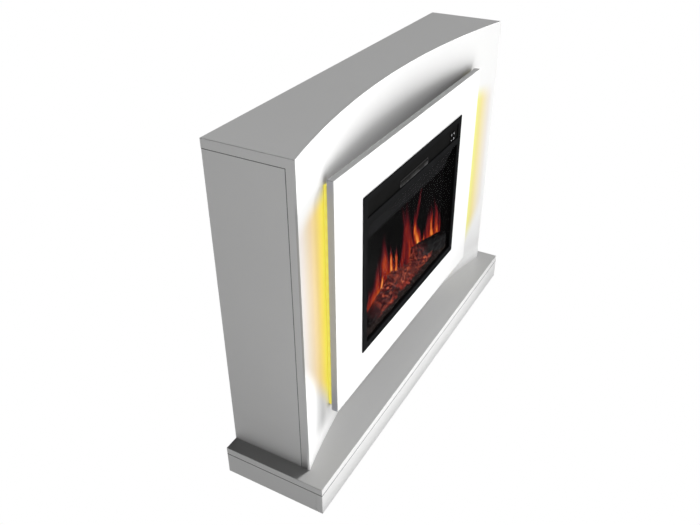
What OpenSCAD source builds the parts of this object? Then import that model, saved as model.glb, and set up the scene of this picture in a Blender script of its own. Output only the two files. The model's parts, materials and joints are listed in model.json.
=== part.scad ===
// Electric fireplace suite: a hearth, a surround with a concave front, a flat centre
// panel lit from behind its two side edges, and a slim electric fire set in the panel.
// +X is the viewer's right, -Y is the front, +Z is up. The origin is the middle of the
// hearth's footprint on the floor. All sizes are in millimetres.

/* [Hearth] */
// Width of the hearth slab
hearth_w = 1220; // [1200:10:1300]
// Depth of the hearth slab, from the wall to its front edge
hearth_d = 285; // [280:5:320]
// Height of the hearth, from the floor to the top of its slab
hearth_h = 86; // [70:2:110]
// Thickness of the hearth slab
hearth_top_t = 20; // [16:1:25]

/* [Surround] */
// Width of the surround
body_w = 1140; // [1120:10:1180]
// Depth of the surround at its side panels
body_d = 226; // [226:2:236]
// Height of the surround above the hearth
body_h = 834; // [820:2:900]
// How far the middle of the concave front lies behind its two ends
front_sag = 68; // [50:2:72]
// Thickness of the curved front board
front_t = 22; // [18:1:24]
// Thickness of the top slab
slab_t = 22; // [18:1:28]
// Thickness of the side panels and inner boards
board_t = 18; // [15:1:18]
// Width of the small chamfer on the boards' edges
arris = 0.8; // [0.4:0.2:1.2]

/* [Centre panel] */
// Width of the centre panel
panel_w = 854; // [840:2:880]
// Height of the centre panel
panel_h = 654; // [640:2:670]
// Thickness of the centre panel
panel_t = 18; // [16:1:19]
// Height of the panel's lower edge above the hearth
panel_lift = 74; // [70:2:80]

/* [Electric fire] */
// Width of the fire's trim frame
trim_w = 595; // [590:1:600]
// Height of the fire's trim frame
trim_h = 454; // [450:1:458]
// Height of the trim frame's lower edge above the panel's lower edge
trim_lift = 102; // [98:1:106]
// Depth of the steel case behind the trim frame
case_d = 143.5; // [140:0.5:150]
// Travel of a push button
button_travel = 1.5; // [1:0.1:1.6]

/* [Hidden] */

fine = 64;                       // facets of small round parts
arc_fine = 720;                  // facets of the front's large circles
eps = 0.5;                       // how far a cutter runs past a face

// Hearth
glide_h = 2;
glide_r = 11;
hearth_board_t = 18;
box_top = hearth_h - hearth_top_t;
back_y = hearth_d / 2;
rib_x = [-300, 0, 300];

// Surround
top_z = hearth_h + body_h;
slab_z = top_z - slab_t;
front_y = back_y - body_d;
mid_y = front_y + front_sag;
arc_r = (pow(body_w / 2, 2) + pow(front_sag, 2)) / (2 * front_sag);
arc_y = mid_y - arc_r;
side_x = body_w / 2;
inner_x = side_x - board_t;
back_t = 5;
back_panel_y = back_y - back_t;
upright_x = 300;
rail_h = 60;
rail_hole_x = 250;
rail_hole_r = 2.75;
dowel_r = 4;
dowel_y = [0, 90];
dowel_x = side_x - board_t / 2;
block = 20;
block_l = 30;
block_y = [0, 90];

// Centre panel and its light
panel_z = hearth_h + panel_lift;
panel_y = front_y + 2;
panel_back_y = panel_y + panel_t;
spacer_x = [330, 360];
screw_x = 345;
screw_r = 2;
screw_z = [panel_z + 70, panel_z + panel_h / 2, panel_z + panel_h - 70];
led_margin = 16;
led_z = panel_z + led_margin;
led_h = panel_h - 2 * led_margin;
led_x = panel_w / 2 - 3;
led_w = 12;
led_d = 9;
led_wall = 1;
lead_hole = [396, panel_z + 40];

// Electric fire, outside
trim_t = 3;
trim_y = panel_y - trim_t;
trim_z = panel_z + trim_lift;
trim_top_z = trim_z + trim_h;
trim_side = 20;
trim_top = 17;
trim_bottom = 22;
bar_z = trim_top_z - 81;
bar_h = 18.5;
case_w = trim_w - 35;
case_h = trim_h - 34;
case_z = trim_z + 17;
case_top_z = case_z + case_h;
case_back_y = panel_y + case_d;
sheet = 1.2;
opening_w = case_w + 10;
opening_z = case_z - 5;
opening_h = case_h + 10;
in_x = case_w / 2 - sheet;
floor_z = case_z + sheet;
ceil_z = case_top_z - sheet;
lip = 14;

// Glass, fascia and buttons
glass_t = 4;
glass_y = panel_y + 1;
glass_w = case_w - 6;
fascia_y = panel_y + 1;
fascia_t = 2;
fascia_z = bar_z + 6;
grille = [-98, fascia_z + 14, 168, 18];
fin_count = 20;
button_x = 239;
button_z = fascia_z + 29;
pitch_x = 18;
pitch_z = 17;
cap = [13, 11];
cap_gap = 0.4;
cap_front = fascia_y - 2;
flange_y = fascia_y + fascia_t + 0.2;
stem_end = fascia_y + 6.8;
switch_h = 4;
board_y = stem_end + button_travel + 0.2 + switch_h;

// Fire bed
screen_y = trim_y + 36;
screen_t = 3;
screen_z = floor_z + 31.8;
screen_top = trim_top_z - 156;
bed_w = 2 * in_x - 4;
bed_y0 = glass_y + glass_t + 1;
bed_y1 = screen_y + 18.5;
bed_wall = 3;

// Flame effect
rod_y = 0;
rod_z = floor_z + 65;
rod_r = 2.5;
run_gap = 0.05;
rod_end = 266;
vane_count = 16;

// Fan heater
tray_z = fascia_z;
wheel_y = 18;
wheel_z = tray_z + 28;
wheel_r = 20;
wheel_x0 = -90;
wheel_l = 160;
blade_count = 20;
shaft_r = 2.5;
cutout_z = tray_z + 23;
duct_x = -94;
duct_y = panel_y + 5.5;
duct_l = 168;
duct_wall = 2;
duct_h = 20;
scroll_r = wheel_r + 2.5;

gland = [-235, floor_z + 30];
cover_screw_x = case_w / 2 - 8;
cover_screw_z = [case_z + 9, case_z + case_h / 2, case_top_z - 9];

white_paint = "whitesmoke";
raw_board = "burlywood";
black_steel = "#1c1c1e";
black_plastic = "#26262a";

// Corner outline with its four corners cut off by c
module cut_rect(w, h, c)
    polygon([
        [-w / 2 + c, -h / 2], [w / 2 - c, -h / 2], [w / 2, -h / 2 + c], [w / 2, h / 2 - c],
        [w / 2 - c, h / 2], [-w / 2 + c, h / 2], [-w / 2, h / 2 - c], [-w / 2, -h / 2 + c]
    ]);

// Board with a chamfer on every edge, from corner p, of size s
module board(p, s, c = arris)
    translate(p + s / 2)
        intersection() {
            linear_extrude(s.z, center = true) cut_rect(s.x, s.y, c);
            rotate([90, 0, 0]) linear_extrude(s.y, center = true) cut_rect(s.x, s.z, c);
            rotate([90, 0, 90]) linear_extrude(s.x, center = true) cut_rect(s.y, s.z, c);
        }

// Everything within radius r of the front's centre of curvature, between two heights
module arc_solid(r, z0, z1)
    translate([0, arc_y, z0]) cylinder(r = r, h = z1 - z0, $fn = arc_fine);

// Rod along +X, from point p
module rod_x(p, r, l)
    translate(p) rotate([0, 90, 0]) cylinder(r = r, h = l, $fn = fine);

// Rod along +Y, from point p
module rod_y(p, r, l)
    translate(p) rotate([-90, 0, 0]) cylinder(r = r, h = l, $fn = fine);

// Profile in the YZ plane, extruded along X to both sides of the middle
module profile_x(w, points)
    rotate([90, 0, 90]) linear_extrude(w, center = true) polygon(points);

// Rectangle with round corners, in the XZ plane, from y0 over depth d
module round_key(x, z, w, h, r, y0, d)
    translate([x, y0 + d, z]) rotate([90, 0, 0]) linear_extrude(d) {
        square([w - 2 * r, h], center = true);
        square([w, h - 2 * r], center = true);
        for (i = [-1, 1], j = [-1, 1])
            translate([i * (w / 2 - r), j * (h / 2 - r)]) circle(r, $fn = fine);
    }

// ---- hearth ----

module glides() color("gray")
    for (x = [-600, -300, 0, 300, 600], y = [-115, 115])
        translate([x * (hearth_w / 2 - glide_r - 2) / 600, y, 0])
            cylinder(r = glide_r, h = glide_h, $fn = fine);

module hearth_front() color(white_paint)
    board([-hearth_w / 2, -back_y, glide_h], [hearth_w, hearth_board_t, box_top - glide_h]);

module hearth_back() color(raw_board)
    translate([-hearth_w / 2 + hearth_board_t, back_y - hearth_board_t, glide_h])
        cube([hearth_w - 2 * hearth_board_t, hearth_board_t, box_top - glide_h]);

module hearth_end(x) color(white_paint)
    board([x, -back_y + hearth_board_t, glide_h],
          [hearth_board_t, hearth_d - hearth_board_t, box_top - glide_h]);

module hearth_left_side() hearth_end(-hearth_w / 2);

module hearth_right_side() hearth_end(hearth_w / 2 - hearth_board_t);

module hearth_ribs() color(raw_board)
    for (x = rib_x)
        translate([x - hearth_board_t / 2, -back_y + hearth_board_t, glide_h])
            cube([hearth_board_t, hearth_d - 2 * hearth_board_t, box_top - glide_h]);

module hearth_top() color(white_paint)
    difference() {
        board([-hearth_w / 2, -back_y, box_top], [hearth_w, hearth_d, hearth_top_t]);
        dowels_at(hearth_h);
    }

// ---- surround ----

// Dowels that cross the joint at height z, 12 mm below it and 12 mm above it
module dowels_at(z)
    for (i = [-1, 1], y = dowel_y)
        translate([i * dowel_x, y, z - 12]) cylinder(r = dowel_r, h = 24, $fn = fine);

module dowels() color(raw_board) {
    dowels_at(hearth_h);
    dowels_at(slab_z);
}

// Left side panel; its front edge is cut to the curved board's inner face
module side_panel()
    difference() {
        board([-side_x, front_y, hearth_h], [board_t, body_d, slab_z - hearth_h]);
        arc_solid(arc_r + front_t, hearth_h - eps, slab_z + eps);
        translate([-side_x, arc_y + sqrt(pow(arc_r + front_t, 2) - pow(side_x, 2)), hearth_h])
            rotate([0, 0, 45])
                cube([arris * sqrt(2), arris * sqrt(2), 3 * body_h], center = true);
        dowels_at(hearth_h);
        dowels_at(slab_z);
    }

module left_side() color(white_paint) side_panel();

module right_side() color(white_paint) mirror([1, 0, 0]) side_panel();

// Screws that hold the centre panel, from inside the surround
module screw_cutters()
    for (i = [-1, 1], z = screw_z) {
        rod_y([i * screw_x, panel_back_y - 7, z], screw_r, body_d / 2);
        rod_y([i * screw_x, inner_face(screw_x) - 6, z], 2 * screw_r, 20);
    }

// Y of the curved board's inner face at a distance x from the middle
function inner_face(x) = arc_y + sqrt(pow(arc_r + front_t, 2) - x * x);

module curved_front() color(white_paint)
    difference() {
        intersection() {
            translate([-side_x, front_y - 1, hearth_h])
                cube([body_w, body_d, slab_z - hearth_h]);
            arc_solid(arc_r + front_t, hearth_h - eps, slab_z + eps);
        }
        arc_solid(arc_r, hearth_h - 1, slab_z + 1);
        translate([-opening_w / 2, front_y, opening_z])
            cube([opening_w, body_d, opening_h]);
        screw_cutters();
        for (i = [-1, 1])
            rod_y([i * lead_hole.x, panel_back_y, lead_hole.y], 6, body_d / 2);
    }

module top_slab() color(white_paint)
    difference() {
        intersection() {
            translate([0, back_y, slab_z + slab_t / 2]) rotate([90, 0, 0])
                linear_extrude(body_d + 1) polygon([
                    [-side_x, -slab_t / 2], [side_x, -slab_t / 2],
                    [side_x, slab_t / 2 - arris], [side_x - arris, slab_t / 2],
                    [-side_x + arris, slab_t / 2], [-side_x, slab_t / 2 - arris]
                ]);
            profile_x(body_w, [
                [front_y - 1, slab_z], [back_y, slab_z], [back_y, top_z - arris],
                [back_y - arris, top_z], [front_y - 1, top_z]
            ]);
        }
        arc_solid(arc_r, slab_z - 1, top_z + 1);
        translate([0, arc_y, top_z - arris])
            cylinder(r1 = arc_r, r2 = arc_r + 2 * arris, h = 2 * arris, $fn = arc_fine);
        dowels_at(slab_z);
    }

// Board inside the surround, cut to the curved board's inner face
module inner_board(p, s) color(raw_board)
    difference() {
        translate(p) cube(s);
        arc_solid(arc_r + front_t, p.z - eps, p.z + s.z + eps);
    }

module base_board()
    inner_board([-inner_x, front_y, hearth_h], [2 * inner_x, back_panel_y - front_y, board_t]);

// Upright beside the fire, notched at the back for the wall rail
module upright(x)
    difference() {
        inner_board([x, mid_y, hearth_h + board_t],
                    [board_t, back_panel_y - mid_y, slab_z - hearth_h - board_t]);
        translate([x - 1, back_y - board_t, slab_z - rail_h])
            cube([board_t + 2, board_t + 1, rail_h + 1]);
    }

module left_upright() upright(-upright_x - board_t);

module right_upright() upright(upright_x);

module insert_shelf()
    inner_board([-upright_x, mid_y, case_z - board_t],
                [2 * upright_x, back_panel_y - mid_y, board_t]);

module wall_rail() color(raw_board)
    difference() {
        translate([-inner_x, back_y - board_t, slab_z - rail_h])
            cube([2 * inner_x, board_t, rail_h]);
        for (i = [-1, 1])
            rod_y([i * rail_hole_x, back_y - board_t - 1, slab_z - rail_h / 2],
                  rail_hole_r, board_t + 2);
    }

module back_panel() color("peru")
    difference() {
        translate([-inner_x, back_panel_y, hearth_h])
            cube([2 * inner_x, back_t, slab_z - rail_h - hearth_h]);
        round_key(gland.x, gland.y, 120, 70, 8, back_panel_y - 1, back_t + 2);
        for (i = [-3 : 3], j = [0 : 4])
            round_key(i * 80, case_z + 160 + j * 45, 50, 8, 3.9, back_panel_y - 1, back_t + 2);
    }

module centre_panel() color(white_paint)
    difference() {
        board([-panel_w / 2, panel_y, panel_z], [panel_w, panel_t, panel_h]);
        translate([-opening_w / 2, panel_y - 1, opening_z])
            cube([opening_w, panel_t + 2, opening_h]);
        screw_cutters();
    }

// Batten between the centre panel and the concave face
module spacer(x) color(raw_board)
    difference() {
        intersection() {
            translate([x, panel_back_y, panel_z + 30])
                cube([spacer_x[1] - spacer_x[0], body_d / 2, panel_h - 60]);
            arc_solid(arc_r, panel_z, panel_z + panel_h);
        }
        screw_cutters();
    }

module left_spacer() spacer(-spacer_x[1]);

module right_spacer() spacer(spacer_x[0]);

module corner_blocks() color("ivory")
    for (i = [-1, 1], x = [inner_x - block, upright_x + board_t], y = block_y,
         z = [hearth_h + board_t, slab_z - block])
        translate([i * (x + block / 2) - block / 2, y, z]) cube([block, block_l, block]);

module panel_screws() color("silver")
    for (i = [-1, 1], z = screw_z) {
        rod_y([i * screw_x, panel_back_y - 7, z], screw_r,
              inner_face(screw_x) - 5 - panel_back_y + 7);
        rod_y([i * screw_x, inner_face(screw_x) - 6, z], 2 * screw_r, 3);
    }

// ---- light behind the panel ----

// Aluminium channel on the panel's back, open towards the side
module led_channel() color("silver")
    difference() {
        translate([led_x - led_w, panel_back_y, led_z]) cube([led_w, led_d, led_h]);
        translate([led_x - led_w + led_wall, panel_back_y + led_wall, led_z - 1])
            cube([led_w, led_d - 2 * led_wall, led_h + 2]);
    }

// Strip with a row of light-emitting diodes, on the channel's inner wall
module led_strip() color("khaki") {
    translate([led_x - led_w + led_wall, panel_back_y + led_wall, led_z + 2])
        cube([0.8, led_d - 2 * led_wall, led_h - 4]);
    for (i = [0 : 18])
        translate([led_x - led_w + led_wall, panel_back_y + 2.5, led_z + 20 + i * 32])
            cube([2.4, 4, 4]);
}

// Milky cover that closes the channel
module led_diffuser() color("lightyellow")
    translate([led_x - 1, panel_back_y + led_wall, led_z])
        cube([1, led_d - 2 * led_wall, led_h]);

module right_led_channel() led_channel();

module left_led_channel() mirror([1, 0, 0]) led_channel();

module right_led_strip() led_strip();

module left_led_strip() mirror([1, 0, 0]) led_strip();

module right_led_diffuser() led_diffuser();

module left_led_diffuser() mirror([1, 0, 0]) led_diffuser();

module led_driver() color("white")
    board([-480, 45, hearth_h + board_t], [110, 45, 28], 2);

// ---- case of the fire ----

// Places of the rear cover's screws
module at_cover_screws()
    for (i = [-1, 1], z = cover_screw_z)
        translate([i * cover_screw_x, case_back_y, z]) rotate([-90, 0, 0]) children();

module firebox_case() color("dimgray")
    difference() {
        translate([-case_w / 2, panel_y, case_z]) cube([case_w, case_d, case_h]);
        translate([-in_x, panel_y - 1, floor_z])
            cube([2 * in_x, case_d - sheet + 1, case_h - 2 * sheet]);
        translate([-case_w / 2 + lip, case_back_y - 5, case_z + lip])
            cube([case_w - 2 * lip, 10, case_h - 2 * lip]);
        at_cover_screws() cylinder(r = 1.5, h = 20, center = true, $fn = fine);
    }

module rear_cover() color("dimgray")
    difference() {
        translate([-case_w / 2 + 1, case_back_y, case_z + 1])
            cube([case_w - 2, sheet, case_h - 2]);
        at_cover_screws() cylinder(r = 1.5, h = 20, center = true, $fn = fine);
        rod_y([gland.x, case_back_y - 1, gland.y], 6, 4);
        for (i = [-6 : 6], j = [0 : 5])
            round_key(i * 36, wheel_z - 22 + j * 9, 26, 4, 1.9, case_back_y - 1, 4);
        for (i = [-6 : 6], j = [0 : 3])
            round_key(i * 36 + 18, case_z + 90 + j * 9, 26, 4, 1.9, case_back_y - 1, 4);
    }

module cover_screws() color("silver")
    at_cover_screws() {
        translate([0, 0, -6]) cylinder(r = 1.5, h = 6 + sheet, $fn = fine);
        translate([0, 0, sheet]) cylinder(r = 3, h = 2, $fn = fine);
    }

// Nylon gland in the rear cover, where the mains lead goes in
module cable_gland() color(black_plastic)
    difference() {
        union() {
            rod_y([gland.x, case_back_y - 8, gland.y], 6, 22);
            rod_y([gland.x, case_back_y - 4, gland.y], 9, 4 - sheet + 1.2);
            rod_y([gland.x, case_back_y + sheet, gland.y], 9, 6);
        }
        rod_y([gland.x, case_back_y - 9, gland.y], 3.9, 30);
    }

module trim_frame() color(black_steel)
    difference() {
        board([-trim_w / 2, trim_y, trim_z], [trim_w, trim_t, trim_h], 0.6);
        translate([-trim_w / 2 + trim_side, trim_y - 1, trim_z + trim_bottom])
            cube([trim_w - 2 * trim_side, trim_t + 2, bar_z - trim_z - trim_bottom]);
        translate([-trim_w / 2 + trim_side, trim_y - 1, bar_z + bar_h])
            cube([trim_w - 2 * trim_side, trim_t + 2, trim_top_z - trim_top - bar_z - bar_h]);
    }

module glass_pane() color("lightblue", 0.3)
    translate([-glass_w / 2, glass_y, floor_z + 1])
        cube([glass_w, glass_t, fascia_z - floor_z - 2]);

// ---- fascia, outlet grille and buttons ----

// Places of the four push buttons
function button_at(column, row) =
    [button_x + (column - 0.5) * pitch_x, button_z - (row - 0.5) * pitch_z];

module fascia() color(black_plastic)
    difference() {
        translate([-glass_w / 2, fascia_y, fascia_z])
            cube([glass_w, fascia_t, ceil_z - fascia_z - 1]);
        translate([grille[0], fascia_y - 1, grille[1]])
            cube([grille[2], fascia_t + 2, grille[3]]);
        for (c = [0, 1], r = [0, 1])
            round_key(button_at(c, r).x, button_at(c, r).y, cap.x + 2 * cap_gap,
                      cap.y + 2 * cap_gap, 2 + cap_gap, fascia_y - 1, fascia_t + 2);
    }

module outlet_grille() color("#3c3c40") {
    frame_w = 2;
    difference() {
        translate([grille[0], fascia_y - 1.5, grille[1]]) cube([grille[2], 6, grille[3]]);
        translate([grille[0] + frame_w, fascia_y - 3, grille[1] + frame_w])
            cube([grille[2] - 2 * frame_w, 10, grille[3] - 2 * frame_w]);
    }
    for (i = [1 : fin_count])
        translate([grille[0] + i * grille[2] / (fin_count + 1) - 0.6, fascia_y - 1,
                   grille[1] + frame_w - 0.2])
            cube([1.2, 5, grille[3] - 2 * frame_w + 0.4]);
}

// Push button: cap, retaining flange behind the fascia, and stem to its switch
module button(place) color(black_plastic) {
    round_key(place.x, place.y, cap.x, cap.y, 2, cap_front, flange_y - cap_front);
    round_key(place.x, place.y, cap.x + 2.6, cap.y + 2.6, 2, flange_y, 1);
    rod_y([place.x, flange_y + 1, place.y], 2, stem_end - flange_y - 1);
}

module power_button() button(button_at(0, 0));

module flame_button() button(button_at(1, 0));

module low_heat_button() button(button_at(0, 1));

module high_heat_button() button(button_at(1, 1));

// Circuit board behind the buttons, with one key switch for each
module control_board() color("seagreen") {
    translate([190, board_y, button_z - 20]) cube([80, 1.6, 40]);
    for (c = [0, 1], r = [0, 1]) {
        place = button_at(c, r);
        translate([place.x - 3, board_y - 3.4, place.y - 3]) cube([6, 3.4, 6]);
        rod_y([place.x, board_y - switch_h, place.y], 1.7, switch_h);
    }
    for (x = [194, 266], z = [-16, 16])
        rod_y([x, fascia_y + fascia_t, button_z + z], 2.5, board_y - fascia_y - fascia_t);
    translate([196, board_y + 1.6, button_z - 12]) cube([14, 11, 24]);
    rod_y([220, board_y + 1.6, button_z], 5, 12);
}

// ---- fire bed ----

// Sloping sheet from the glass down to the top of the flame screen
module baffle() color(black_steel)
    profile_x(2 * in_x, [
        [bed_y0, tray_z], [bed_y0, bar_z - 3], [screen_y - sheet, screen_top],
        [screen_y - sheet, screen_top - 7], [screen_y, screen_top - 7],
        [screen_y, screen_top + 0.2], [bed_y0 + sheet, bar_z - 2.8], [bed_y0 + sheet, tray_z]
    ]);

module heater_tray() color("gray")
    translate([-in_x, bed_y0, tray_z]) cube([2 * in_x, case_back_y - sheet - bed_y0, sheet]);

// Section of the ember bed's outside, stepped up towards the screen
bed_outline = [
    [bed_y0, floor_z], [bed_y0, floor_z + 11.8], [bed_y0 + 13, floor_z + 21.8],
    [screen_y - 1, screen_z], [bed_y1, screen_z], [bed_y1, floor_z]
];

module ember_bed() color("orangered")
    difference() {
        profile_x(bed_w, bed_outline);
        profile_x(bed_w - 2 * bed_wall, [
            [bed_y0 + bed_wall, floor_z - 1], [bed_y0 + bed_wall, floor_z + 10],
            [bed_y0 + 14, floor_z + 18.5], [screen_y, screen_z - bed_wall],
            [bed_y1 - bed_wall, screen_z - bed_wall], [bed_y1 - bed_wall, floor_z - 1]
        ]);
    }

// Log from point a to point b, thickness ra at a and rb at b
module log_piece(a, b, ra, rb) {
    way = b - a;
    run = norm([way.x, way.y]);
    translate(a) rotate([0, atan2(run, way.z), atan2(way.y, way.x)])
        cylinder(r1 = ra, r2 = rb, h = norm(way), $fn = 32);
}

// Logs moulded as one relief: two long logs, one across, and two short ones in front
module log_set() color("#4a4446")
    difference() {
        intersection() {
            union() {
                log_piece([52, -52, 364], [262, -60, 318], 23, 28);
                log_piece([-240, -60, 336], [-66, -54, 374], 22, 21);
                log_piece([-96, -56, 366], [70, -64, 326], 19, 17);
                log_piece([46, -66, 332], [156, -68, 316], 15, 14);
                log_piece([-218, -68, 316], [-112, -68, 328], 13, 15);
            }
            translate([-bed_w / 2, bed_y0, floor_z])
                cube([bed_w, screen_y - 1 - bed_y0, 200]);
        }
        profile_x(2 * bed_w, bed_outline);
    }

module flame_screen() color("darkorange")
    translate([-in_x + 1, screen_y, screen_z])
        cube([2 * in_x - 2, screen_t, screen_top - screen_z]);

// ---- flame effect ----

// Curved mirror behind the flicker rod, on two legs
module reflector() color("lightgray") {
    intersection() {
        difference() {
            rod_x([-250, rod_y, rod_z], 33, 500);
            rod_x([-251, rod_y, rod_z], 32, 502);
        }
        translate([-260, 12, rod_z - 40]) cube([520, 40, 80]);
    }
    for (i = [-1, 1])
        translate([i * 247 - 2, 22, floor_z]) cube([4, 8, rod_z - 23 - floor_z]);
}

// Shaft with small mirror vanes, each turned on from the one before
module flicker_rod() color("silver") {
    rod_x([-rod_end, rod_y, rod_z], rod_r, 2 * rod_end);
    for (i = [0 : vane_count - 1])
        translate([(i - (vane_count - 1) / 2) * 29, rod_y, rod_z]) rotate([i * 52, 0, 0])
            cube([22, 26, 0.8], center = true);
}

module flicker_motor() color("goldenrod")
    difference() {
        union() {
            rod_x([256, rod_y, rod_z], 22, 18);
            translate([274, rod_y - 28, rod_z - 12]) cube([in_x - 274, 56, 24]);
        }
        rod_x([255, rod_y, rod_z], rod_r + run_gap, 13);
    }

module flicker_bush() color("ivory")
    difference() {
        union() {
            rod_x([-in_x, rod_y, rod_z], 7, 20);
            rod_x([-in_x, rod_y, rod_z], 12, 3);
        }
        rod_x([-268, rod_y, rod_z], rod_r + run_gap, 20);
    }

// Strip board with diodes, w wide along X, at height z, between two y values
module diode_board(w, y0, d, z, count) {
    translate([-w / 2, y0, z]) cube([w, d, 1.6]);
    for (i = [0 : count - 1])
        translate([(i - (count - 1) / 2) * w / count - 2, y0 + d / 2 - 2, z + 1.6])
            cube([4, 4, 1.4]);
}

module flame_led_board() color("seagreen") {
    diode_board(480, -24, 16, floor_z + 12, 16);
    for (i = [-1, 1])
        translate([i * 220 - 4, -20, floor_z]) cube([8, 8, 12]);
}

module ember_led_board() color("seagreen")
    diode_board(480, bed_y0 + 8, 24, floor_z, 12);

// ---- fan heater ----

// Cross-flow wheel: blades between end discs, on a shaft
module blower_wheel() color("silver") {
    for (x = [0, wheel_l / 2 - 0.75, wheel_l - 1.5])
        rod_x([wheel_x0 + x, wheel_y, wheel_z], wheel_r, 1.5);
    for (i = [0 : blade_count - 1])
        translate([wheel_x0, wheel_y, wheel_z]) rotate([i * 360 / blade_count, 0, 0])
            translate([0, wheel_r - 5.2, -0.4]) cube([wheel_l, 5, 0.8]);
    rod_x([wheel_x0 - 6, wheel_y, wheel_z], shaft_r, 7);
    rod_x([wheel_x0 + wheel_l - 1, wheel_y, wheel_z], shaft_r, 15);
}

// Space inside the housing, grown by the thickness t: round the wheel, forward through the
// duct to the grille, and back to the air inlet
module air_way(t) {
    rod_x([duct_x + duct_wall - t, wheel_y, wheel_z], scroll_r + t, duct_l - 2 * duct_wall + 2 * t);
    translate([duct_x + duct_wall - t, duct_y, grille[1] - t])
        cube([duct_l - 2 * duct_wall + 2 * t, wheel_y - duct_y, duct_h + 2 * t]);
    translate([duct_x + duct_wall - t, wheel_y, wheel_z - t])
        cube([duct_l - 2 * duct_wall + 2 * t, scroll_r + 4, duct_h + 2 * t]);
}

module blower_housing() color("lightsteelblue")
    difference() {
        union() {
            air_way(duct_wall);
            for (x = [duct_x, duct_x + duct_l - 12])
                translate([x, wheel_y - 14, tray_z + sheet]) cube([12, 28, 8]);
        }
        air_way(0);
        translate([duct_x + duct_wall, duct_y - 1, grille[1]])
            cube([duct_l - 2 * duct_wall, 2, duct_h]);
        translate([duct_x + duct_wall, wheel_y + scroll_r + 3, wheel_z])
            cube([duct_l - 2 * duct_wall, 5, duct_h]);
        rod_x([duct_x + duct_l - 5, wheel_y, wheel_z], 4, 10);
        rod_x([duct_x - 5, wheel_y, wheel_z], 5, 10);
    }

module blower_bush() color("goldenrod")
    difference() {
        union() {
            rod_x([duct_x - 3, wheel_y, wheel_z], 8, 3);
            rod_x([duct_x - 3, wheel_y, wheel_z], 5, 3 + duct_wall);
        }
        rod_x([duct_x - 4, wheel_y, wheel_z], shaft_r + run_gap, 10);
    }

module blower_motor() color("gray")
    difference() {
        union() {
            rod_x([duct_x + duct_l + 1, wheel_y, wheel_z], 17, 40);
            translate([duct_x + duct_l + 9, wheel_y - 14, tray_z + sheet])
                cube([12, 28, wheel_z - tray_z - sheet]);
        }
        rod_x([duct_x + duct_l, wheel_y, wheel_z], shaft_r + run_gap, 12);
    }

// Finned heating block in the duct
module heater_element() color("gainsboro")
    difference() {
        translate([duct_x + duct_wall, duct_y + 14, grille[1]])
            cube([duct_l - 2 * duct_wall, 12, duct_h]);
        for (i = [0 : 15], j = [0, 1])
            translate([duct_x + duct_wall + 4 + i * 9.9, duct_y + 12, grille[1] + 2.5 + j * 8.5])
                cube([7.5, 16, 6.5]);
    }

module thermal_cutout() color("ivory") {
    rod_x([duct_x - 7, duct_y + 45, cutout_z], 8, 7);
    for (z = [-3, 2])
        translate([duct_x - 14, duct_y + 42, cutout_z + z]) cube([8, 6, 0.8]);
}

glides();
hearth_front();
hearth_back();
hearth_left_side();
hearth_right_side();
hearth_ribs();
hearth_top();
left_side();
right_side();
curved_front();
top_slab();
base_board();
left_upright();
right_upright();
insert_shelf();
wall_rail();
back_panel();
centre_panel();
left_spacer();
right_spacer();
dowels();
corner_blocks();
panel_screws();
left_led_channel();
right_led_channel();
left_led_strip();
right_led_strip();
left_led_diffuser();
right_led_diffuser();
led_driver();
firebox_case();
rear_cover();
cover_screws();
cable_gland();
trim_frame();
glass_pane();
fascia();
outlet_grille();
baffle();
heater_tray();
ember_bed();
log_set();
flame_screen();
reflector();
flame_led_board();
ember_led_board();
flicker_rod();
flicker_motor();
flicker_bush();
blower_wheel();
blower_housing();
blower_motor();
blower_bush();
heater_element();
thermal_cutout();
control_board();
power_button();
flame_button();
low_heat_button();
high_heat_button();
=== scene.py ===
"""Looks of the electric fireplace: lacquer, light behind the panel, fire bed, flames and studio.

All lengths are in metres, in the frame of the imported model: +X to the viewer's right,
-Y out of the front, +Z up, origin on the floor in the middle of the hearth.
"""

import json
import math
import random

import bpy
from mathutils import Matrix, Vector, noise


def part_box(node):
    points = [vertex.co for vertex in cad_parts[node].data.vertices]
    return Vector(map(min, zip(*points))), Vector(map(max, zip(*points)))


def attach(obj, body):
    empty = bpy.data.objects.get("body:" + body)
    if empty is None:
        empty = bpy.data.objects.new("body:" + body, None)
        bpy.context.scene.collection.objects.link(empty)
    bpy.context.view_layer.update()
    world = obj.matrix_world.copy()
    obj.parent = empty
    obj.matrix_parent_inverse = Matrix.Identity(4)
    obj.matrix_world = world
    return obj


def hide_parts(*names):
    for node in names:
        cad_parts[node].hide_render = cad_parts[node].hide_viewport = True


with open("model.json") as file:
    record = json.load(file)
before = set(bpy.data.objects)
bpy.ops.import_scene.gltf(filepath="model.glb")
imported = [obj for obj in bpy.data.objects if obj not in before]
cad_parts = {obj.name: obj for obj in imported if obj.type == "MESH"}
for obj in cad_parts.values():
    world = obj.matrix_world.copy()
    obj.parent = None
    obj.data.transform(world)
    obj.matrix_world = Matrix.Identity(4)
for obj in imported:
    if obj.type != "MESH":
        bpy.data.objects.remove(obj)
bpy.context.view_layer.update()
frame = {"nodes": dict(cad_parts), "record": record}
nodes = frame["nodes"]

MM = 0.001
BODY = "fireplace"


# ---- helpers for materials ----


def srgb(red, green, blue):
    """Linear colour of a display colour given as 0 to 255."""
    channels = []
    for value in (red, green, blue):
        share = value / 255
        if share <= 0.04045:
            channels.append(share / 12.92)
        else:
            channels.append(((share + 0.055) / 1.055) ** 2.4)
    return (*channels, 1.0)


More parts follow.
